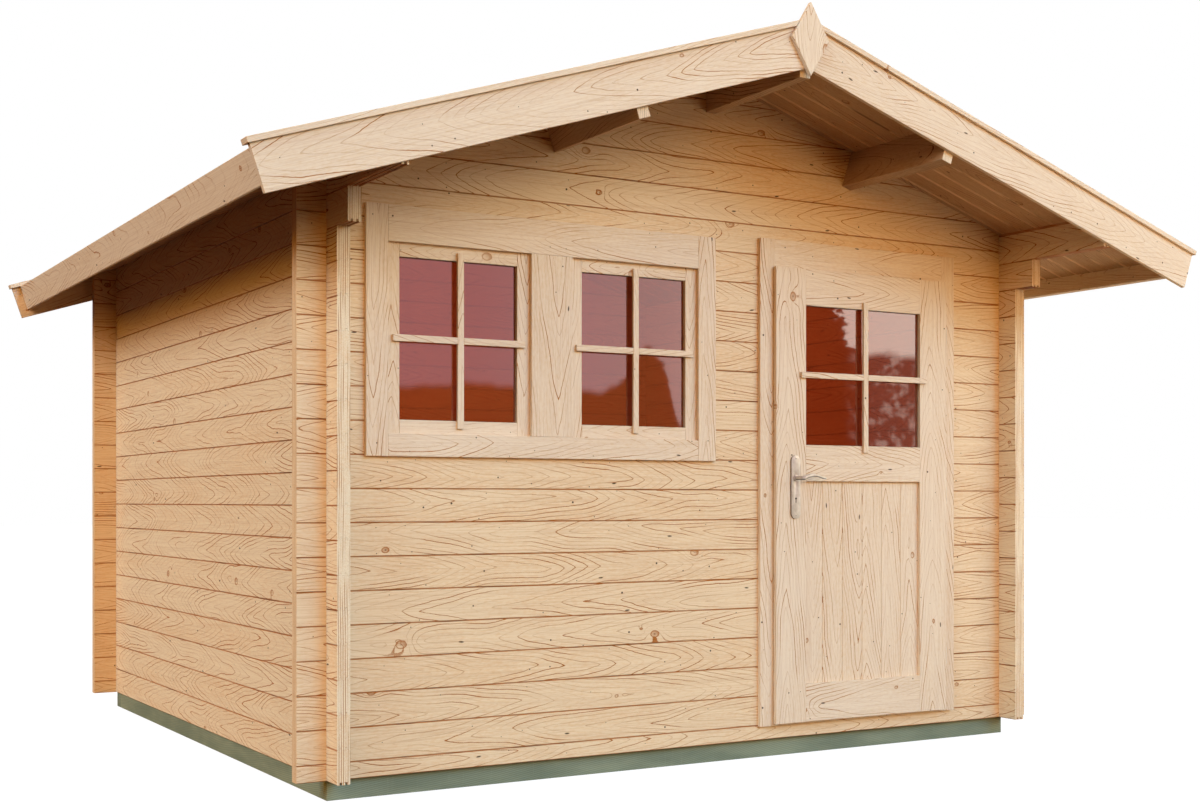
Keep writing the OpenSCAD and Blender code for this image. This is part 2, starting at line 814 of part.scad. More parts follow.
// Upper half of each hinge: a barrel with a bore, on a stem that goes into the leaf's edge
module leaf_hinges() {
  color(steel)
    for (z = hinge_z) difference() {
      union() {
        translate([hinge_x, hinge_y, z + seat]) cylinder(h = hinge_half - seat, r = hinge_r, $fn = 48);
        translate([hinge_x, hinge_stem_y, z + hinge_half / 2])
          rotate([0, -90, 0]) cylinder(h = hinge_x - leaf_x1 + hinge_stem, r = hinge_pin_r, $fn = 32);
      }
      translate([hinge_x, hinge_y, z - 1]) cylinder(h = hinge_half + 2, r = hinge_pin_r + running, $fn = 48);
    }
}

// Lower half of each hinge: a barrel with its pin, on a stem that goes back through the casing
module frame_hinges() {
  color(steel)
    for (z = hinge_z) {
      translate([hinge_x, hinge_y, z - hinge_half]) cylinder(h = hinge_half, r = hinge_r, $fn = 48);
      translate([hinge_x, hinge_y, z - 1]) cylinder(h = hinge_half, r = hinge_pin_r, $fn = 48);
      translate([hinge_x, hinge_y, z - hinge_half / 2]) bore(hinge_pin_r, -wall_y - seat - hinge_y);
    }
}

// ---------- lever ----------

// One cross-section of the grip, t from 0 at the neck to 1 at the tip
module lever_bead(t, y) {
  x = lever_x + t * lever_len;
  z = lever_z + lever_arch * sin(180 * min(1, t * 1.1)) * (1 - 0.2 * t);
  r = lever_r * (1 - 0.45 * t);
  translate([x, y, z]) scale([1, 0.75, 1]) sphere(r = r, $fn = 20);
}

// A grip arched along the leaf towards the hinges, tapering to its tip, at a distance y from the back
module lever_grip(y) {
  steps = 6;
  for (i = [0 : steps - 1])
    hull() {
      lever_bead(i / steps, y);
      lever_bead((i + 1) / steps, y);
    }
}

// The outside lever carries the spindle
module lever_outside() {
  grip_y = leaf_front - plate_t - lever_reach;
  color(steel) {
    lever_grip(grip_y);
    translate([lever_x, grip_y, lever_z]) bore(lever_r, leaf_front - seat - grip_y);
    translate([lever_x, leaf_front - 1, lever_z]) bore(spindle_r, leaf_t + 1 + plate_t + spindle_end);
  }
}

// The inside lever is pushed onto the end of the spindle
module lever_inside() {
  grip_y = leaf_back + plate_t + lever_reach;
  y0 = leaf_back + seat;
  color(steel) difference() {
    union() {
      lever_grip(grip_y);
      translate([lever_x, y0, lever_z]) bore(lever_r, grip_y - y0);
    }
    translate([lever_x, y0 - 1, lever_z]) bore(spindle_r + running, 1 + plate_t + spindle_end);
  }
}

cross_bearers();
side_bearers();
floor_joists();
floor_deck();
left_wall_logs();
right_wall_logs();
left_eave_logs();
right_eave_logs();
back_wall_logs();
back_gable_logs();
front_sill_log();
front_logs_below_window();
front_logs_beside_window();
front_logs_right_of_door();
front_top_logs();
front_gable_logs();
ridge_purlin();
mid_purlins();
roof_left();
roof_right();
left_bargeboards();
right_bargeboards();
left_cover_strips();
right_cover_strips();
eave_boards();
ridge_finials();
window_frame();
window_casing();
window_trim();
left_sash();
right_sash();
window_panes();
door_frame();
door_threshold();
door_casing();
door_trim();
door_stiles();
door_rails();
door_panel();
door_pane();
handle_plates();
leaf_hinges();
frame_hinges();
lever_outside();
lever_inside();
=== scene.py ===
import json
import math
import random

import bmesh
import bpy
from mathutils import Matrix, Vector

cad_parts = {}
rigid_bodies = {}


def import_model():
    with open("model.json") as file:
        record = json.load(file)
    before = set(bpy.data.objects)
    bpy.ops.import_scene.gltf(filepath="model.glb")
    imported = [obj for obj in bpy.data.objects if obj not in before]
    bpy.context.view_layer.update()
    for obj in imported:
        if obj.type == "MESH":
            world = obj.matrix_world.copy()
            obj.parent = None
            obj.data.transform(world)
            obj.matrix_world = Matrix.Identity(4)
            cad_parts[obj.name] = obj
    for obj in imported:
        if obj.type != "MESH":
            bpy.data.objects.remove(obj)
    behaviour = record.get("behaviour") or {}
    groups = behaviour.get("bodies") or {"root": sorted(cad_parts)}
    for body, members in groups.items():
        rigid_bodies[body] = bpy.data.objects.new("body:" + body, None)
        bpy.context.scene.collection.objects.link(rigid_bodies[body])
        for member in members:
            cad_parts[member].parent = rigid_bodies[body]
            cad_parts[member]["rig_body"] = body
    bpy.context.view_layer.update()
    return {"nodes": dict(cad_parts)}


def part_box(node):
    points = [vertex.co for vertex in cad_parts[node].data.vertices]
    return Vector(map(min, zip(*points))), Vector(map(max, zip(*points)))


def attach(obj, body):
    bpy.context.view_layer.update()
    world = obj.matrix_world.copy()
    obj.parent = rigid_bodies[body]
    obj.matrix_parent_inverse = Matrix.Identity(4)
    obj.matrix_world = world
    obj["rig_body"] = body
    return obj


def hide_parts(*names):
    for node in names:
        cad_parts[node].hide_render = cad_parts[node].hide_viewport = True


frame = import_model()

# A garden house of pine logs. Everything is in metres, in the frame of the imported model:
# X along the front wall, +Y towards the back, +Z up, the ground at Z = 0.

MILLIMETRE = 0.001
X, Y, Z = 0, 1, 2


# ---------- sizes ----------

# Slope of the roof, and the gap that neighbouring pieces are built with
roof_slope = math.radians(18.2)
seat = 0.0003
# Height of a log's tongues above its shoulder
tongue_height = 0.008
# The boards of the roof, the floor and the door panel
roof_board_width = 0.095
roof_board_length = 1.98
roof_board_thickness = 0.019
floor_board_width = 0.0967
panel_board_width = 0.098
# Width of a sash's timber, and how far a pane reaches behind the lip that holds it
sash_timber = 0.057
lip_lap = 0.0077
# Glazing bars: width, thickness, and how far their ends lap onto the sash or the leaf
bar_width = 0.023
bar_thickness = 0.012
bar_lap = 0.027
# Glazing beads: width, and how far they stay below the room side of the sash or the leaf
bead_width = 0.011
bead_set_back = 0.002
# Handle plates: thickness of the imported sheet, and how far the rim and the face stand off the leaf
plate_sheet = 0.0025
plate_rim = 0.005
plate_depth = 0.007
# How far the spindle and the keyhole lie above a plate's lower end
spindle_up = 0.1575
keyhole_up = 0.078


def colour(red, green, blue):
    """A screen colour, 0 to 255 a channel, as the shader's linear one."""
    def channel(value):
        value /= 255
        return value / 12.92 if value <= 0.04045 else ((value + 0.055) / 1.055) ** 2.4
    return channel(red), channel(green), channel(blue), 1


# ---------- shader sums ----------

class Value:
    """A number, vector or colour on a surface. Sums on numbers add their Math nodes."""

    def __init__(self, finish, socket):
        self.finish = finish
        self.socket = socket

    def output(self, name):
        return Value(self.finish, self.socket.node.outputs[name])

    def math(self, operation, *others):
        terms = dict(enumerate((self,) + others))
        return self.finish.node("Math", {"operation": operation}, terms)

    def __add__(self, other):
        return self.math("ADD", other)

    __radd__ = __add__

    def __mul__(self, other):
        return self.math("MULTIPLY", other)

    def __sub__(self, other):
        return self.math("SUBTRACT", other)

    def __rsub__(self, other):
        return self.finish.node("Math", {"operation": "SUBTRACT"}, {0: other, 1: self})

    def __truediv__(self, other):
        return self.math("DIVIDE", other)

    def __pow__(self, other):
        return self.math("POWER", other)

    def rise(self, low, high):
        """0 below low, 1 above high, and smooth between them."""
        settings = {"interpolation_type": "SMOOTHSTEP"}
        return self.finish.node("MapRange", settings, {"Value": self, "From Min": low, "From Max": high})

    def bell(self, width):
        """1 where the number is 0, falling away over the width on both sides."""
        scaled = self / width
        return (scaled * scaled * -1).math("EXPONENT")

    def parts(self):
        """The X, Y and Z of a vector."""
        split = self.finish.node("SeparateXYZ", {}, {0: self})
        return split, split.output("Y"), split.output("Z")


def distance(across, up):
    """How far a point lies from the middle, from its two coordinates."""
    return (across ** 2 + up ** 2).math("SQRT")


class Finish:
    """A material, or the world, built node by node."""

    def __init__(self, owner):
        self.owner = owner
        owner.use_nodes = True
        self.tree = owner.node_tree
        self.tree.nodes.clear()

    def node(self, kind, settings, sockets, result=0):
        made = self.tree.nodes.new("ShaderNode" + kind)
        for name, value in settings.items():
            setattr(made, name, value)
        for name, value in sockets.items():
            if isinstance(value, Value):
                self.tree.links.new(value.socket, made.inputs[name])
            else:
                made.inputs[name].default_value = value
        return Value(self, made.outputs[result]) if len(made.outputs) else None

    def attribute(self, name, result="Vector"):
        return self.node("Attribute", {"attribute_name": name}, {}, result)

    def object_place(self):
        """X, Y and Z of the point, in metres."""
        return self.node("TexCoord", {}, {}, "Object").parts()

    def vector(self, x, y, z):
        return self.node("CombineXYZ", {}, {0: x, 1: y, 2: z})

    def noise(self, x, y, z, detail=1.0, result=0):
        sockets = {"Vector": self.vector(x, y, z), "Scale": 1.0, "Detail": detail}
        return self.node("TexNoise", {"noise_dimensions": "3D"}, sockets, result)

    def spots(self, x, y, cell_length, cell_width):
        """One spot in every cell of a board: its distance along and across, and three chances."""
        place = self.vector(x / cell_length, y / cell_width, 0)
        cells = self.node("TexVoronoi", {"voronoi_dimensions": "2D"}, {"Vector": place, "Scale": 1.0})
        away = self.node("VectorMath", {"operation": "SUBTRACT"}, {0: place, 1: cells.output("Position")})
        along, across, _ = away.parts()
        red = self.node("SeparateColor", {}, {0: cells.output("Color")})
        chances = red, red.output("Green"), red.output("Blue")
        return along * cell_length, across * cell_width, chances

    def mix(self, under, over, share):
        """One colour over another. A Mix node's colours are its inputs 6 and 7 and its output 2."""
        sockets = {0: share, 6: under, 7: over}
        return self.node("Mix", {"data_type": "RGBA"}, sockets, 2)

    def surface(self, **sockets):
        names = {name.replace("_", " "): value for name, value in sockets.items()}
        shader = self.node("BsdfPrincipled", {}, names)
        self.node("OutputMaterial", {}, {"Surface": shader})
        return self.owner

    def bump(self, height, depth):
        return self.node("Bump", {}, {"Height": height, "Distance": depth, "Strength": 1.0})


def new_finish(name):
    return Finish(bpy.data.materials.new(name))


# ---------- finishes ----------

def end_grain(made, deep, tint):
    """Thin upright lines, the same down a whole column of ends."""
    spacing = 7.2 * MILLIMETRE
    height = made.object_place()[2]
    bent = made.noise(height * 2.2, deep * 9, tint * 0.2, 1) - 0.5
    wave = (deep + bent * 0.012) / spacing
    in_wave = wave.math("FRACT")
    line = in_wave.rise(0.55, 0.95) * (1 - in_wave.rise(0.95, 1.0))
    return line * made.noise(height * 5, wave.math("FLOOR"), 0.5, 1).rise(0.35, 0.65) * 0.9


def dark_marks(made, along, across, chance, ragged):
    """Specks, and short streaks that lean a little. Each has a share of its cells to lie in."""
    speck_cell, speck_share = (0.11, 0.11), 0.5
    streak_cell, streak_share = (0.52, 0.16), 0.42
    streak_stretch = 3.4
    speck_along, speck_across, (there, large, _) = made.spots(along, across + chance * 5, *speck_cell)
    past_speck = distance(speck_along, speck_across) - large ** 2 * 0.0024
    speck = (1 - past_speck.rise(0.0009, 0.0021)) * there.math("LESS_THAN", speck_share)
    streak_along, streak_across, (there, lean, _) = made.spots(along, across + chance * 3, *streak_cell)
    leaning = streak_across + streak_along * (lean - 0.5) * 0.3
    from_streak = distance(streak_along / streak_stretch, leaning) + ragged * 0.0016
    streak = (1 - from_streak.rise(0.0018, 0.0036)) * there.math("LESS_THAN", streak_share)
    return speck.math("MAXIMUM", streak)


def planed_pine(name, pale, warm, line, joint=0.0, joint_or_highlight_tone=None, joint_below=False,
                end_tone=None, line_strength=0.85, knot_share=0.22):
    """Planed pine: rings round a heart that wanders along the board, fibre, knots and specks.
    A joint above 0 tones the long edges of each board over that width, or with joint_below those of
    its underside, and leaves a thin dark line on top. An end tone is for the ends."""
    knot_core = colour(104, 56, 26)
    speck_tone = colour(56, 26, 10)
    open_joint = colour(82, 40, 14)
    # Knots: at most one in a cell of this length and width, each longer than wide, with a radius
    # that chance sets from the smallest up over the range
    knot_cell = 0.46, 0.15
    knot_squash = 0.72
    smallest_knot, knot_range = 4 * MILLIMETRE, 11 * MILLIMETRE
    knot_rim = 1.4 * MILLIMETRE
    # Rings: their distance from one another, and their form, where 2 is round and 1 is pointed
    ring_width = 10.5 * MILLIMETRE
    ring_power = 1.3

    made = new_finish(name)
    along, across, deep = made.attribute("grain").parts()
    heart_across, heart_deep, chance = made.attribute("heart").parts()
    half_across, half_deep, tint = made.attribute("sawn").parts()
    at_end = made.attribute("end", "Fac")
    away_from_end = 1 - at_end
    from_edge = half_across - across.math("ABSOLUTE")

    # Where the knots lie. The rings run round them
    knot_x, knot_across, (there, large, dark) = made.spots(along, across + chance * 9, *knot_cell)
    knot_along = knot_x * knot_squash
    ragged = made.noise(along * 70, across * 70, deep * 70, 2) - 0.5
    knot_away = distance(knot_along, knot_across) + ragged * 0.005
    knot_size = smallest_knot + large ** 2 * knot_range
    is_knot = there.math("LESS_THAN", knot_share)
    pushed = (knot_away / knot_size / 2.6).bell(1.0) * is_knot

    # Rings of the tree, cut by the board's faces
    drift = made.noise(along * 2.3, chance * 31, 0.5, 1, "Color").parts()
    ripple = made.noise(along * 15, across * 30, deep * 30, 3) - 0.5
    side = (heart_across + (drift[0] - 0.5) * 0.06).math("ABSOLUTE")
    depth = (heart_deep + (drift[1] - 0.5) * 0.06).math("ABSOLUTE")
    even = (side ** ring_power + depth ** ring_power) ** (1 / ring_power)
    radius = even + ripple * 0.0055 + pushed * knot_size * 2.2
    ring = radius / ring_width
    in_ring = ring.math("FRACT")
    which = ring.math("FLOOR")
    ring_chance = made.node("TexWhiteNoise", {"noise_dimensions": "2D"},
                            {"Vector": made.vector(which, chance * 7, 0)})
    # Where the face cuts the rings at a slant they lie wider apart, but their lines stay thin
    slant = ((side / even) ** 0.3).math("MAXIMUM", 0.35)
    late_wood = 1 - ((1 - in_ring) * ring_width / slant).rise(0.0015, 0.0035)
    patches = made.noise(along * 4, across * 16, deep * 16 + chance * 5, 1).rise(0.36, 0.62)
    lines = late_wood * (0.18 + ring_chance ** 2 * 1.4) * (0.25 + patches * 0.75)
    lines = lines + (end_grain(made, deep, tint) - lines) * at_end

    # The wood's own tone, its fibre and the lines
    fibre = made.noise(along * 5, across * 420, deep * 420, 2)
    clouds = made.noise(along * 1.7, across * 11, deep * 11 + tint * 3, 2)
    flecks = made.noise(along * 55, across * 150, deep * 150, 2)
    base = made.mix(pale, warm, (clouds - 0.35) + (tint - 0.5) * 0.35 + (flecks - 0.5) * 1.8)
    if end_tone:
        base = made.mix(base, end_tone, at_end)
    base = made.mix(base, line, (fibre - 0.42).math("MAXIMUM", 0) * 0.85)
    base = made.mix(base, line, (lines * line_strength).math("MINIMUM", 1))

    # Each knot has a crescent of shade or is filled, and has a dark rim and a darker core
    inside = (1 - (knot_away / knot_size).rise(0.85, 1.1)) * is_knot * away_from_end
    off_centre = distance(knot_along + knot_size * 0.3, knot_across + knot_size * 0.25)
    crescent = (off_centre / knot_size).rise(0.35, 1.1)
    filled = dark.math("GREATER_THAN", 0.65) * 0.4
    base = made.mix(base, line, inside * (0.1 + crescent * 0.55).math("MAXIMUM", filled))
    rim = (knot_away - knot_size).bell(knot_rim) * is_knot * away_from_end
    base = made.mix(base, line, rim * (0.65 + dark * 0.35))
    core = (knot_away / knot_size).bell(0.25) * is_knot * away_from_end
    base = made.mix(base, knot_core, core * dark)

    # Specks and streaks, on the wide faces only
    on_face = from_edge.rise(0.002, 0.004) * away_from_end
    marks = dark_marks(made, along, across, chance, ragged)
    base = made.mix(base, speck_tone, (marks * on_face) * 0.9)

    if joint:
        frayed = made.noise(along * 11, chance * 17, tint, 3)
        toned = (1 - (from_edge / joint).rise(0.6, 0.8 + frayed * 0.8)) * away_from_end
        if joint_below:
            below = (deep / half_deep * -1).rise(0.2, 0.9)
            thin_line = 1 - from_edge.rise(0.8 * MILLIMETRE, 1.6 * MILLIMETRE)
            base = made.mix(base, line, thin_line * (1 - below) * away_from_end)
            toned = toned * below
        # On the logs this is the joints' own darker tone; on the roof boards' undersides it is pale, a
        # painted highlight on the V joints
        base = made.mix(base, joint_or_highlight_tone, toned * (0.4 + frayed * 0.7).math("MINIMUM", 1))
        gaps = made.noise(along * 4, chance * 41, 0.5, 2).rise(0.54, 0.66)
        base = made.mix(base, open_joint, toned * gaps * 0.6)

    relief = fibre * 0.3 + lines * 0.7 - inside * 0.4
    rough = 0.62 - lines * 0.12 + (fibre - 0.5) * 0.1
    return made.surface(Base_Color=base, Roughness=rough, Specular_IOR_Level=0.1,
                        Normal=made.bump(relief, 0.25 * MILLIMETRE))


def treated_pine(name):
    """Sawn pine, grey-green from pressure treatment, a little darker along some grain."""
    made = new_finish(name)
    along, across, deep = made.attribute("grain").parts()
    heart_across, heart_deep, chance = made.attribute("heart").parts()
    drift = made.noise(along * 0.8, chance * 23, 0.5, 1) - 0.5
    in_ring = (distance(heart_across, heart_deep + drift * 0.2) / (7 * MILLIMETRE)).math("FRACT")
    lines = in_ring.rise(0.4, 0.9) * (1 - in_ring.rise(0.92, 1.0))
    saw = made.noise(along * 160, across * 9, deep * 9, 2)
    clouds = made.noise(along * 3, across * 14, deep * 14, 3)
    base = made.mix(colour(143, 149, 123), colour(119, 127, 106), clouds.rise(0.3, 0.7))
    base = made.mix(base, colour(84, 94, 74), lines * 0.5)
    base = made.mix(base, colour(150, 156, 132), saw.rise(0.6, 0.8) * 0.25)
    relief = saw * 0.5 + lines * 0.5
    return made.surface(Base_Color=base, Roughness=0.8 - lines * 0.1, Specular_IOR_Level=0.1,
                        Normal=made.bump(relief, 0.4 * MILLIMETRE))


def brushed_steel(name):
    """Satin steel with fine upright brushing, and a painted reflection of the dark ground that darkens a
    lever's underside.
    """
    made = new_finish(name)
    x, y, z = made.object_place()
    brushing = made.noise(x * 2600, y * 2600, z * 60, 2)
    wear = made.noise(x * 60, y * 60, z * 45, 2)
    base = made.mix(colour(224, 216, 202), colour(208, 198, 182), wear.rise(0.3, 0.7))
    # Painted reflection: points that face down are darkened, as if they mirrored the dark ground
    base = made.mix(base, colour(52, 38, 30), made.attribute("underside", "Fac").rise(0.25, 0.85) * 0.85)
    rough = 0.3 + brushing * 0.12 + wear * 0.06
    return made.surface(Base_Color=base, Metallic=0.85, Roughness=rough,
                        Normal=made.bump(brushing, 0.02 * MILLIMETRE))


def dark_steel(name):
    """Steel painted dark as shade, with a faint mottle, for the rims of the handle plates, the keyholes and
    the screws' slots.
    """
    made = new_finish(name)
    x, y, z = made.object_place()
    shade_mottle = made.noise(x * 400, y * 400, z * 400, 2)
    base = made.mix(colour(30, 24, 20), colour(58, 48, 40), shade_mottle)
    return made.surface(Base_Color=base, Metallic=0.2, Roughness=0.5 + shade_mottle * 0.2)


def tinted_glass(name):
    """Sun-screen glass: bronze-red and strongly reflecting."""
    made = new_finish(name)
    x, y, z = made.object_place()
    film = made.noise(x * 2.2, y * 2.2, z * 3.1, 2)
    base = made.mix(colour(212, 88, 42), colour(220, 98, 50), film.rise(0.3, 0.7))
    return made.surface(Base_Color=base, Roughness=0.01 + film * 0.01, Transmission_Weight=1.0, IOR=2.5)


log_tones = colour(230, 203, 164), colour(223, 184, 138), colour(162, 90, 24)
side_log_tones = colour(233, 213, 179), colour(227, 194, 152), colour(164, 92, 26)
joinery_tones = colour(229, 207, 178), colour(222, 192, 154), colour(166, 102, 40)
# The roof's and the purlins' tones are the pale pine darkened as painted shade of the roof's underside; the
# floor boards share the roof's
shaded_roof_tones = colour(196, 158, 118), colour(183, 138, 96), colour(128, 76, 38)
shaded_purlin_tones = colour(190, 156, 120), colour(176, 138, 100), colour(112, 66, 34)
log_joint = {"joint": 2.7 * MILLIMETRE, "joint_or_highlight_tone": colour(168, 94, 24)}
# Pale tone on the roof boards' underside joints: a painted highlight where the V joints catch the light
roof_joint_highlight = {"joint": 8 * MILLIMETRE, "joint_or_highlight_tone": colour(240, 202, 156), "joint_below": True}

log_wood = planed_pine("log_wood", *log_tones, **log_joint, line_strength=1.0, knot_share=0.2)
side_log_wood = planed_pine("side_log_wood", *side_log_tones, **log_joint, line_strength=1.35)
joinery_wood = planed_pine("joinery_wood", *joinery_tones, line_strength=0.9, knot_share=0.55)
roof_wood_painted_light = planed_pine("roof_wood_painted_light", *shaded_roof_tones, **roof_joint_highlight)
# The purlins' sides are darkened as painted shade, while their ends keep the pale tone
purlin_wood = planed_pine("purlin_wood", *shaded_purlin_tones, end_tone=colour(230, 206, 172))
base_timber = treated_pine("base_timber")
furniture_steel = brushed_steel("furniture_steel")
painted_shade_steel = dark_steel("painted_shade_steel")
window_glass = tinted_glass("window_glass")


# ---------- boards ----------

def separate_solids(work):
    """The solids of a bmesh, each as its own set of vertices, always in the same order."""
    work.verts.index_update()
    waiting = dict.fromkeys(work.verts)
    while waiting:
        reached = [next(iter(waiting))]
        del waiting[reached[0]]
        for vertex in reached:
            for edge in vertex.link_edges:
                other = edge.other_vert(vertex)
                if other in waiting:
                    del waiting[other]
                    reached.append(other)
        yield reached


def lay_grain(work, seed, tilt=0.0, run=None, crown=0.0):
    """Gives each board of a bmesh its own place in the tree. Tilt turns the boards' axes about Y,
    run is the axis that the grain follows, or None for the longest, and crown leaves out tongues."""
    tree_length = 60
    chance = random.Random(seed)
    turn = Matrix.Rotation(tilt, 3, "Y")
    axes = [turn @ Vector((i == X, i == Y, i == Z)) for i in (X, Y, Z)]
    grain = work.verts.layers.float_vector.new("grain")
    heart = work.verts.layers.float_vector.new("heart")
    sawn = work.verts.layers.float_vector.new("sawn")
    end = work.faces.layers.float.new("end")
    work.normal_update()
    for solid in separate_solids(work):
        low = [min(axis.dot(v.co) for v in solid) for axis in axes]
        high = [max(axis.dot(v.co) for v in solid) for axis in axes]
        size = [h - l for l, h in zip(low, high)]
        along = run if run is not None else size.index(max(size))
        across, deep = sorted((i for i in (X, Y, Z) if i != along), key=lambda i: -size[i])
        high[across] -= crown
        middle = [(l + h) / 2 for l, h in zip(low, high)]
        # How far up its tree the board grew, its tint, and where the heart passes beside it
        slide = chance.uniform(0, tree_length)
        tint = chance.random()
        heart_across = chance.uniform(-0.024, 0.024)
        heart_side = chance.choice((-1, 1))
        nearest = chance.uniform(0.02, 0.06)
        taper = chance.choice((-1, 1)) * chance.uniform(0.09, 0.16)
        marks = Vector(((high[across] - low[across]) / 2, (high[deep] - low[deep]) / 2, tint))
        for vertex in solid:
            u, v, w = (axes[i].dot(vertex.co) - middle[i] for i in (along, across, deep))
            vertex[grain] = Vector((u + slide, v, w))
            heart_deep = nearest + taper * u + abs(taper) * size[along] / 2
            vertex[heart] = Vector((v - heart_across, w - heart_side * heart_deep, slide / tree_length))
            vertex[sawn] = marks
        for face in {f for vertex in solid for f in vertex.link_faces}:
            face[end] = float(abs(face.normal.dot(axes[along])) > 0.8)


def ease_edges(work, width, segments=2, sharper_than=35, edges=None):
    """Rounds the given edges of a bmesh, or all that are sharper than an angle."""
    if edges is None:
        limit = math.radians(sharper_than)
        edges = [e for e in work.edges if e.is_manifold and e.calc_face_angle() > limit]
    bmesh.ops.bevel(work, geom=edges, offset=width, offset_type="OFFSET", segments=segments,
                    profile=0.5, affect="EDGES", material=-1, clamp_overlap=True)


def to_object(work, name, finish):
    """Makes an object of a bmesh, in one finish."""
    mesh = bpy.data.meshes.new(name)
    work.to_mesh(mesh)
    work.free()
    mesh.materials.append(finish)
    made = bpy.data.objects.new(name, mesh)
    bpy.context.scene.collection.objects.link(made)
    return made


def place(work, name, finish, body, slot, smooth_below=None, stands_for=()):
    """Makes a finished piece of a bmesh: named, on its body and in its finish. The slot is not used."""
    bmesh.ops.recalc_face_normals(work, faces=work.faces)
    piece = to_object(work, name, finish)
    if smooth_below is not None:
        piece.data.shade_smooth()
        piece.data.set_sharp_from_angle(angle=math.radians(smooth_below))
    if stands_for:
        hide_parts(*stands_for)
    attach(piece, body)


def merged_copy(node):
    """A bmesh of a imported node, its loose triangles joined and its flat faces made whole."""
    work = bmesh.new()
    work.from_mesh(frame["nodes"][node].data)
    bmesh.ops.remove_doubles(work, verts=work.verts, dist=0.01 * MILLIMETRE)
    bmesh.ops.dissolve_limit(work, angle_limit=math.radians(0.5), verts=work.verts, edges=work.edges)
    return work


def timber(node, finish, slot, ease=1.5 * MILLIMETRE, tilt=0.0, run=None, crown=0.0):
    """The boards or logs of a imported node, in wood."""
    work = merged_copy(node)
    if ease:
        ease_edges(work, ease)
    lay_grain(work, node, tilt, run, crown)
    body = frame["nodes"][node]["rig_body"]
    place(work, node + "_wood", finish, body, slot, stands_for=(node,))


def plank(work, low, high):
    """A square-edged board between two corners. Returns its vertices."""
    middle = (Vector(low) + Vector(high)) / 2
    size = Vector(high) - Vector(low)
    matrix = Matrix.Translation(middle) @ Matrix.Diagonal(size).to_4x4()
    return bmesh.ops.create_cube(work, size=1, matrix=matrix)["verts"]


def row_of(length, width):
    """Splits a length into equal boards of about that width: their starts and ends."""
    count = round(length / width)
    return [(i * length / count, (i + 1) * length / count) for i in range(count)]


# ---------- logs, roof, joinery and base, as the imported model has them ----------

def log_walls():
    for node in ("left_wall_logs", "right_wall_logs", "left_eave_logs", "right_eave_logs"):
        timber(node, side_log_wood, "log_pine", ease=0, run=Y, crown=tongue_height)
    for node in ("front_sill_log", "front_logs_below_window", "front_logs_beside_window",
                 "front_logs_right_of_door", "front_top_logs", "front_gable_logs",
                 "back_wall_logs", "back_gable_logs"):
        timber(node, log_wood, "log_pine", ease=0, run=X, crown=tongue_height)


def roof_timbers():
    timber("ridge_purlin", purlin_wood, "roof_pine", ease=2 * MILLIMETRE)
    timber("mid_purlins", purlin_wood, "roof_pine", ease=2 * MILLIMETRE, run=Y)
    for side, tilt in (("left", -roof_slope), ("right", roof_slope)):
        timber(side + "_bargeboards", joinery_wood, "trim_pine", tilt=tilt)
        timber(side + "_cover_strips", joinery_wood, "trim_pine", tilt=tilt)
    timber("eave_boards", joinery_wood, "trim_pine", run=Y)
    timber("ridge_finials", joinery_wood, "trim_pine", ease=2 * MILLIMETRE, run=Z)


def joinery():
    for node in ("window_frame", "window_casing", "window_trim", "left_sash", "right_sash",
                 "door_frame", "door_threshold", "door_casing", "door_trim", "door_stiles", "door_rails"):
        timber(node, joinery_wood, "trim_pine", ease=1.2 * MILLIMETRE)


def base():
    for node in ("cross_bearers", "side_bearers", "floor_joists"):
        timber(node, base_timber, "treated_timber")


# ---------- boards of the roof, the floor and the door panel ----------

def roof_boards(node, side):
    """The boards of one slope, laid from ridge to eave, with V joints underneath.
    They start past the ridge and are cut upright there. The left slope is the right one mirrored."""
    low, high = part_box(node)
    past_ridge = 20 * MILLIMETRE
    ridge_under = high.z - roof_board_thickness / math.cos(roof_slope) - seat
    edge = seat / 2
    work = bmesh.new()
    for start, end in row_of(high.y - low.y, roof_board_width):
        corners = plank(work, (-past_ridge, low.y + start + edge, 0),
                        (roof_board_length, low.y + end - edge, roof_board_thickness))
        under = [e for e in dict.fromkeys(e for v in corners for e in v.link_edges)
                 if all(v.co.z < roof_board_thickness / 2 for v in e.verts)
                 and e.verts[0].co.y == e.verts[1].co.y]
        ease_edges(work, 4.5 * MILLIMETRE, segments=1, edges=under)
    work.transform(Matrix.Translation((0, 0, ridge_under)) @ Matrix.Rotation(roof_slope, 4, "Y"))
    cut = bmesh.ops.bisect_plane(work, geom=work.verts[:] + work.edges[:] + work.faces[:],
                                 plane_co=(seat / 2, 0, 0), plane_no=(-1, 0, 0), clear_outer=True)
    open_edges = [e for e in cut["geom_cut"] if isinstance(e, bmesh.types.BMEdge)]
    bmesh.ops.edgenet_fill(work, edges=open_edges)
    if side < 0:
        work.transform(Matrix.Diagonal((-1, 1, 1, 1)))
    lay_grain(work, node, tilt=side * roof_slope, run=X)
    place(work, node + "_boards", roof_wood_painted_light, "house", "roof_pine", stands_for=(node,))


def floor_boards():
    low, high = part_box("floor_deck")
    work = bmesh.new()
    for start, end in row_of(high.x - low.x, floor_board_width):
        plank(work, (low.x + start + seat, low.y, low.z), (low.x + end - seat, high.y, high.z))
    ease_edges(work, 1.2 * MILLIMETRE)
    lay_grain(work, "floor", run=Y)
    place(work, "floor_boards", roof_wood_painted_light, "house", "floor_pine", stands_for=("floor_deck",))


def door_panel_boards():
    """Upright boards with V joints between them."""
    low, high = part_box("door_panel")
    edge = seat / 2
    work = bmesh.new()
    for start, end in row_of(high.x - low.x, panel_board_width):
        plank(work, (low.x + start + edge, low.y, low.z), (low.x + end - edge, high.y, high.z))
    ease_edges(work, 2.2 * MILLIMETRE, segments=1)
    lay_grain(work, "door panel", run=Z)
    place(work, "door_panel_boards", joinery_wood, "door", "trim_pine", stands_for=("door_panel",))


# ---------- glass, bars and beads ----------

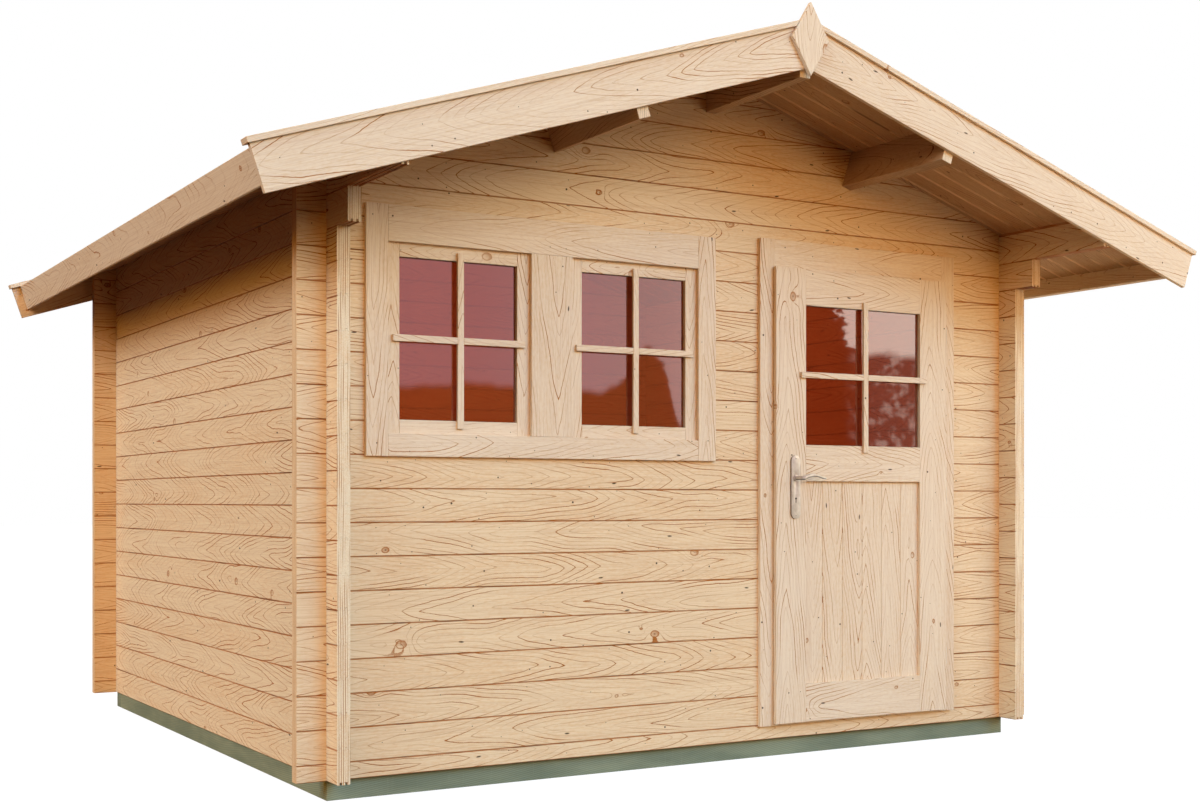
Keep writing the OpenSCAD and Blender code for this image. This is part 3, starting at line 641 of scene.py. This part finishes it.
def glazing_bars(name, body, opening, front, back):
    """An upright bar and the two halves of a level bar that meet it, in front of a pane."""
    x0, x1, z0, z1 = opening
    x, z, half = (x0 + x1) / 2, (z0 + z1) / 2, bar_width / 2
    work = bmesh.new()
    plank(work, (x - half, front, z0 - bar_lap), (x + half, back, z1 + bar_lap))
    plank(work, (x0 - bar_lap, front, z - half), (x - half - seat, back, z + half))
    plank(work, (x + half + seat, front, z - half), (x1 + bar_lap, back, z + half))
    ease_edges(work, 1.5 * MILLIMETRE)
    lay_grain(work, name)
    place(work, name, joinery_wood, body, "trim_pine")


def glazing_beads(name, body, opening, front, back):
    """Beads that hold a pane from the inside, rounded towards the room."""
    x0, x1, z0, z1 = opening[0] - lip_lap, opening[1] + lip_lap, opening[2] - lip_lap, opening[3] + lip_lap
    inner_x0, inner_x1 = x0 + bead_width + seat, x1 - bead_width - seat
    work = bmesh.new()
    plank(work, (x0, front, z0), (x0 + bead_width, back, z1))
    plank(work, (x1 - bead_width, front, z0), (x1, back, z1))
    plank(work, (inner_x0, front, z0), (inner_x1, back, z0 + bead_width))
    plank(work, (inner_x0, front, z1 - bead_width), (inner_x1, back, z1))
    # The long edges on the room side, but not those along the stiles
    middle_x, middle_y = (x0 + x1) / 2, (front + back) / 2
    off_stiles = (x1 - x0) / 2 - bead_width / 2
    arris = [e for e in work.edges
             if all(v.co.y > middle_y and abs(v.co.x - middle_x) < off_stiles for v in e.verts)
             and e.calc_length() > 2 * bead_width]
    ease_edges(work, 6 * MILLIMETRE, segments=4, edges=arris)
    lay_grain(work, name)
    place(work, name, joinery_wood, body, "trim_pine", smooth_below=35)


def glazing():
    """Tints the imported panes, and gives each light its bars in front and its beads behind."""
    for node in ("window_panes", "door_pane"):
        frame["nodes"][node].data.materials[0] = window_glass
    for name, body, outline, inset, holder, pane in (
            ("left", "house", "left_sash", sash_timber, "left_sash", "window_panes"),
            ("right", "house", "right_sash", sash_timber, "right_sash", "window_panes"),
            ("door", "door", "door_pane", lip_lap, "door_stiles", "door_pane")):
        low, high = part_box(outline)
        opening = (low.x + inset, high.x - inset, low.z + inset, high.z - inset)
        front, back = (corner.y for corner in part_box(holder))
        pane_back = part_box(pane)[1].y
        glazing_bars(name + "_bars", body, opening, front - bar_thickness - seat / 2, front - seat / 2)
        glazing_beads(name + "_beads", body, opening, pane_back + seat, back - bead_set_back)


# ---------- door furniture ----------

def sweep(work, stations, sides=24):
    """A closed round body through stations: centre, direction, half width and half height.
    Its sections stay upright: their height is along Z wherever the direction is level."""
    ring = None
    for centre, direction, half_wide, half_high in stations:
        forward = Vector(direction).normalized()
        side = Vector((0, 0, 1)).cross(forward).normalized()
        up = forward.cross(side)
        turn = Matrix((side, up, forward)).transposed().to_4x4()
        matrix = Matrix.Translation(centre) @ turn @ Matrix.Diagonal((half_wide, half_high, 1, 1))
        if ring is None:
            verts = bmesh.ops.create_circle(work, segments=sides, radius=1, cap_ends=True)["verts"]
            bmesh.ops.transform(work, matrix=matrix, verts=verts)
            ring = list(dict.fromkeys(e for v in verts for e in v.link_edges))
        else:
            drawn = bmesh.ops.extrude_edge_only(work, edges=ring)["geom"]
            verts = [g for g in drawn if isinstance(g, bmesh.types.BMVert)]
            bmesh.ops.transform(work, matrix=matrix @ last.inverted(), verts=verts)
            ring = [g for g in drawn if isinstance(g, bmesh.types.BMEdge)
                    and all(v in verts for v in g.verts)]
        last = matrix
    bmesh.ops.edgenet_fill(work, edges=ring)


def turned(work, x, z, steps, sides=24):
    """A turned body about a line along Y. Its steps are places on the line, with their radii."""
    towards = (0, math.copysign(1, steps[-1][0] - steps[0][0]), 0)
    sweep(work, [(Vector((x, y, z)), towards, radius, radius) for y, radius in steps], sides)


def plate_sides():
    """The outer faces of the two raised handle plates, each with its way out of the leaf."""
    low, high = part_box("handle_plates")
    rise = plate_depth - plate_sheet
    return {-1: low.y - rise, 1: high.y + rise}


def handle_plates():
    """The plates as pressed shells: a satin face on a rim of dark steel, painted as the rim's shade."""
    low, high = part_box("handle_plates")
    for name, finish, inner, outer in (("plate_rims", painted_shade_steel, 0, plate_rim),
                                       ("plate_faces", furniture_steel, plate_rim, plate_depth)):
        work = merged_copy("handle_plates")
        for vertex in work.verts:
            outwards = -1 if vertex.co.y < (low.y + high.y) / 2 else 1
            face = low.y if outwards < 0 else high.y
            leaf = face - outwards * plate_sheet
            on_face = abs(vertex.co.y - face) < plate_sheet / 2
            vertex.co.y = leaf + outwards * (outer if on_face else inner)
        ease_edges(work, 0.6 * MILLIMETRE, sharper_than=50)
        place(work, name, finish, "door", "handle_steel", smooth_below=40, stands_for=("handle_plates",))


def hinges():
    for node in ("leaf_hinges", "frame_hinges"):
        work = merged_copy(node)
        ease_edges(work, 0.5 * MILLIMETRE, sharper_than=50)
        body = frame["nodes"][node]["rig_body"]
        place(work, node + "_steel", furniture_steel, body, "handle_steel", smooth_below=40,
              stands_for=(node,))


def door_lever(node, outwards):
    """A swept lever: a collar on the plate, a neck, an elbow, and a grip that arches and thins.
    The outer lever carries the spindle."""
    low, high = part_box("handle_plates")
    spindle_x = (low.x + high.x) / 2
    spindle_z = low.z + spindle_up
    plate_face = plate_sides()[outwards]
    grip_y = plate_face + outwards * 41.5 * MILLIMETRE
    grip_length = 112 * MILLIMETRE
    arch_height = 11 * MILLIMETRE
    bend = 13 * MILLIMETRE
    half_high = 7.8 * MILLIMETRE
    elbow_steps, grip_steps, tip_steps = 6, 16, 5

    neck = ((plate_face - outwards * 2 * MILLIMETRE, 7.9 * MILLIMETRE),
            (plate_face + outwards * 18 * MILLIMETRE, 7.6 * MILLIMETRE),
            (grip_y - outwards * bend, 7.4 * MILLIMETRE))
    stations = [(Vector((spindle_x, y, spindle_z)), (0, outwards, 0), radius, radius) for y, radius in neck]
    for step in range(1, elbow_steps + 1):
        angle = step / elbow_steps * math.pi / 2
        centre = Vector((spindle_x + bend * (1 - math.cos(angle)),
                         grip_y - outwards * bend * (1 - math.sin(angle)), spindle_z))
        towards = (math.sin(angle), outwards * math.cos(angle), 0)
        stations.append((centre, towards, 7.2 * MILLIMETRE, half_high))
    # The grip is highest before its middle, and comes down to the spindle's level near its tip
    for step in range(1, grip_steps + 1):
        share = step / grip_steps
        reach = bend + (grip_length - bend) * share
        arch = arch_height * math.sin(math.pi * min(1, 1.08 * (share ** 0.9)))
        thin = 1 - 0.5 * share
        centre = Vector((spindle_x + reach, grip_y, spindle_z + arch))
        stations.append((centre, (1, 0, 0), 5.8 * MILLIMETRE * thin, half_high * thin))
    end, towards, end_wide, end_high = stations[-1]
    for step in range(1, tip_steps):
        angle = step / tip_steps * math.pi / 2
        centre = end + Vector((4 * MILLIMETRE * math.sin(angle), 0, 0))
        stations.append((centre, towards, end_wide * math.cos(angle), end_high * math.cos(angle)))

    work = bmesh.new()
    sweep(work, stations)
    collar = [(plate_face + outwards * off * MILLIMETRE, radius * MILLIMETRE)
              for off, radius in ((0.1, 12), (3.4, 12), (4, 11))]
    turned(work, spindle_x, spindle_z, collar, sides=40)
    if outwards < 0:
        spindle = ((plate_face, 4 * MILLIMETRE), (high.y + 8 * MILLIMETRE, 4 * MILLIMETRE))
        turned(work, spindle_x, spindle_z, spindle, sides=16)
    # How far each point faces down, for the painted dark reflection on the lever's underside
    underside = work.verts.layers.float.new("underside")
    bmesh.ops.recalc_face_normals(work, faces=work.faces)
    for vertex in work.verts:
        vertex[underside] = max(0, -vertex.normal.z)
    place(work, node + "_swept", furniture_steel, "lever", "handle_steel", smooth_below=45,
          stands_for=(node,))


def plate_screws():
    """Heads at both ends of each handle plate, with cross slots and a keyhole below the lever drawn as dark
    steel pieces that stand for their shade.
    """
    low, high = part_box("handle_plates")
    x = (low.x + high.x) / 2
    from_end = 12 * MILLIMETRE
    slot_long, slot_wide = 2.2 * MILLIMETRE, 0.45 * MILLIMETRE
    keyhole_z = low.z + keyhole_up
    key_radius, key_slot, key_drop = 4.2 * MILLIMETRE, 1.9 * MILLIMETRE, 15.5 * MILLIMETRE
    heads = bmesh.new()
    slots = bmesh.new()
    for outwards, face in plate_sides().items():
        head = [(face + outwards * off * MILLIMETRE, radius * MILLIMETRE)
                for off, radius in ((-0.5, 3.7), (0.2, 3.7), (0.7, 2.4))]
        near, far = sorted((face + outwards * 0.55 * MILLIMETRE, face + outwards * 0.78 * MILLIMETRE))
        for z in (low.z + from_end, high.z - from_end):
            turned(heads, x, z, head)
            # Each slot is a thin dark bar just proud of the head: painted shade, as the head is not cut
            for half_x, half_z in ((slot_long, slot_wide), (slot_wide, slot_long)):
                plank(slots, (x - half_x, near, z - half_z), (x + half_x, far, z + half_z))
        # The keyhole is a dark disc and drop just proud of the plate: painted shade, as the plate is not
        # cut
        near, far = sorted((face - outwards * 0.5 * MILLIMETRE, face + outwards * 0.15 * MILLIMETRE))
        turned(slots, x, keyhole_z, ((near, key_radius), (far, key_radius)))
        plank(slots, (x - key_slot, near, keyhole_z - key_drop), (x + key_slot, far, keyhole_z))
    place(heads, "plate_screws", furniture_steel, "door", "handle_steel", smooth_below=30)
    place(slots, "keyhole_and_slot_shades", painted_shade_steel, "door", "handle_steel")


def door_furniture():
    handle_plates()
    hinges()
    door_lever("lever_outside", -1)
    door_lever("lever_inside", 1)
    plate_screws()


# ---------- floor, light and camera ----------

def studio_floor():
    """A pale floor that keeps a soft shadow, and throws back only a little warm light."""
    made = new_finish("studio_floor")
    rays = made.node("LightPath", {}, {})
    seen = (rays.output("Is Camera Ray") + rays.output("Is Transmission Ray")
            + rays.output("Is Glossy Ray") * 0.35).math("MINIMUM", 1)
    glow = made.node("Emission", {}, {"Color": (1, 1, 1, 1), "Strength": 0.93})
    matt = made.node("BsdfDiffuse", {}, {"Color": (0.16, 0.16, 0.16, 1)})
    bright = made.node("AddShader", {}, {0: glow, 1: matt})
    # What it throws back is dark left of the house, brown below it and pale on its right
    x, _, _ = made.object_place()
    bounce = made.mix(colour(52, 16, 4), colour(104, 70, 34), x.rise(-2.4, -1.2))
    bounce = made.mix(bounce, colour(255, 226, 190), x.rise(1.4, 2.4))
    dim = made.node("BsdfDiffuse", {}, {"Color": bounce})
    both = made.node("MixShader", {}, {0: seen, 1: dim, 2: bright})
    made.node("OutputMaterial", {}, {"Surface": both})
    work = bmesh.new()
    bmesh.ops.create_grid(work, x_segments=1, y_segments=1, size=60)
    to_object(work, "studio_floor", made.owner)


def sky():
    """White behind the house, and only a faint light on it. The glass mirrors a sky over dark trees."""
    world = bpy.data.worlds.new("sky")
    bpy.context.scene.world = world
    made = Finish(world)
    rays = made.node("LightPath", {}, {})
    east, north, up = made.node("TexCoord", {}, {}, "Generated").parts()
    light = made.mix(colour(150, 90, 50), colour(255, 248, 238), up.rise(-0.05, 1.0))
    lit = made.node("Background", {}, {"Color": light, "Strength": 0.04})

    # The tree tops that the glass mirrors. Turn grows from the left window's panes to the door's
    turn = east / (north * -1)
    twigs = made.noise(turn * 90, up * 240, 0.5, 2) - 0.5
    tall_tree = (turn - 0.741 + twigs * 0.03).bell(0.023) * 0.07
    pointed_tree = (turn - 0.592 + twigs * 0.012).bell(0.016) * 0.024
    skyline = 0.06 - turn.rise(0.604, 0.618) * 0.024 + turn.rise(0.65, 0.7) * 0.042
    tree_tops = made.noise(turn * 26, 0.5, 0.5, 3) * 0.02 + tall_tree + pointed_tree + skyline
    above_trees = (up - tree_tops).rise(-0.003, 0.003)
    clear = made.mix(colour(212, 180, 192), colour(255, 240, 225), turn.rise(0.42, 0.82))
    trees = made.mix(colour(120, 80, 42), colour(12, 5, 2), turn.rise(0.55, 0.72))
    thin_leaves = made.noise(turn * 110, up * 150, 0.5, 3).rise(0.46, 0.66) * turn.rise(0.765, 0.79)
    trees = made.mix(trees, clear, thin_leaves * 0.36 + turn.rise(0.765, 0.8) * 0.06)
    mirrored = made.mix(trees, clear, above_trees)
    strength = turn.rise(0.48, 0.85) * 1.3 + (turn - 0.53).bell(0.05) * 0.3 + 1.0
    in_glass = made.node("Background", {}, {"Color": mirrored, "Strength": strength})

    plain = made.node("Background", {}, {"Color": (1, 1, 1, 1), "Strength": 1.0})
    seen = made.node("MixShader", {}, {0: rays.output("Is Glossy Ray"), 1: lit, 2: in_glass})
    straight = (rays.output("Is Camera Ray") + rays.output("Is Transmission Ray")).math("MINIMUM", 1)
    whole = made.node("MixShader", {}, {0: straight, 1: seen, 2: plain})
    made.node("OutputWorld", {}, {"Surface": whole})


def hang(lamp):
    """Puts a lamp in the scene. It lights the house, and isn't seen in or through its panes."""
    holder = bpy.data.objects.new(lamp.name, lamp)
    holder.visible_glossy = False
    holder.visible_transmission = False
    bpy.context.scene.collection.objects.link(holder)
    return holder


def daylight():
    """Soft light from all round: warm and low in front, cooler from higher up and from the left.
    Each lamp has its turn from the front and its height, in degrees, and its tone."""
    for name, turn, height, tone in (
            ("front", 15, 20, (0.20, 0.32, 0.35)),
            ("high_front", 15, 34, (0.00, 0.14, 0.41)),
            ("low_front", -15, 8, (0.40, 0.20, 0.04)),
            ("right_front", 45, 20, (0.28, 0.30, 0.30)),
            ("left_front", -45, 20, (0.17, 0.11, 0.06)),
            ("left", -75, 31, (0.45, 0.60, 0.72)),
            ("far_left", -105, 16, (0.28, 0.12, 0.00)),
            ("right", 95, 45, (0.36, 0.35, 0.34)),
            ("back", 175, 30, (0.40, 0.39, 0.38))):
        lamp = bpy.data.lights.new(name, "SUN")
        lamp.angle = math.radians(30)
        lamp.energy = math.pi
        lamp.color = tone
        hang(lamp).rotation_euler = (math.radians(90 - height), 0, math.radians(turn))


def room_light():
    """A dim lamp in the room, so that its far walls show through the panes."""
    lamp = bpy.data.lights.new("room_light", "POINT")
    lamp.energy = 17
    lamp.color = (1, 0.95, 0.88)
    lamp.shadow_soft_size = 0.5
    holder = hang(lamp)
    holder.location = (0, 0.1, 1.85)
    holder.visible_camera = False


def camera():
    """A level camera at the front left. Its lens is shifted, so that upright edges stay upright."""
    lens = bpy.data.cameras.new("camera")
    lens.sensor_width = 36
    lens.lens = 48.816
    lens.shift_x = -0.08333
    lens.shift_y = 0.08236
    holder = bpy.data.objects.new("camera", lens)
    holder.location = (-3.32423, -6.65772, 0.98926)
    holder.rotation_euler = (math.radians(90), 0, math.radians(-32.411))
    bpy.context.scene.collection.objects.link(holder)
    bpy.context.scene.camera = holder


log_walls()
roof_timbers()
joinery()
base()
roof_boards("roof_left", -1)
roof_boards("roof_right", 1)
floor_boards()
door_panel_boards()
glazing()
door_furniture()

studio_floor()
sky()
daylight()
room_light()
camera()
bpy.context.scene.view_settings.view_transform = "Standard"
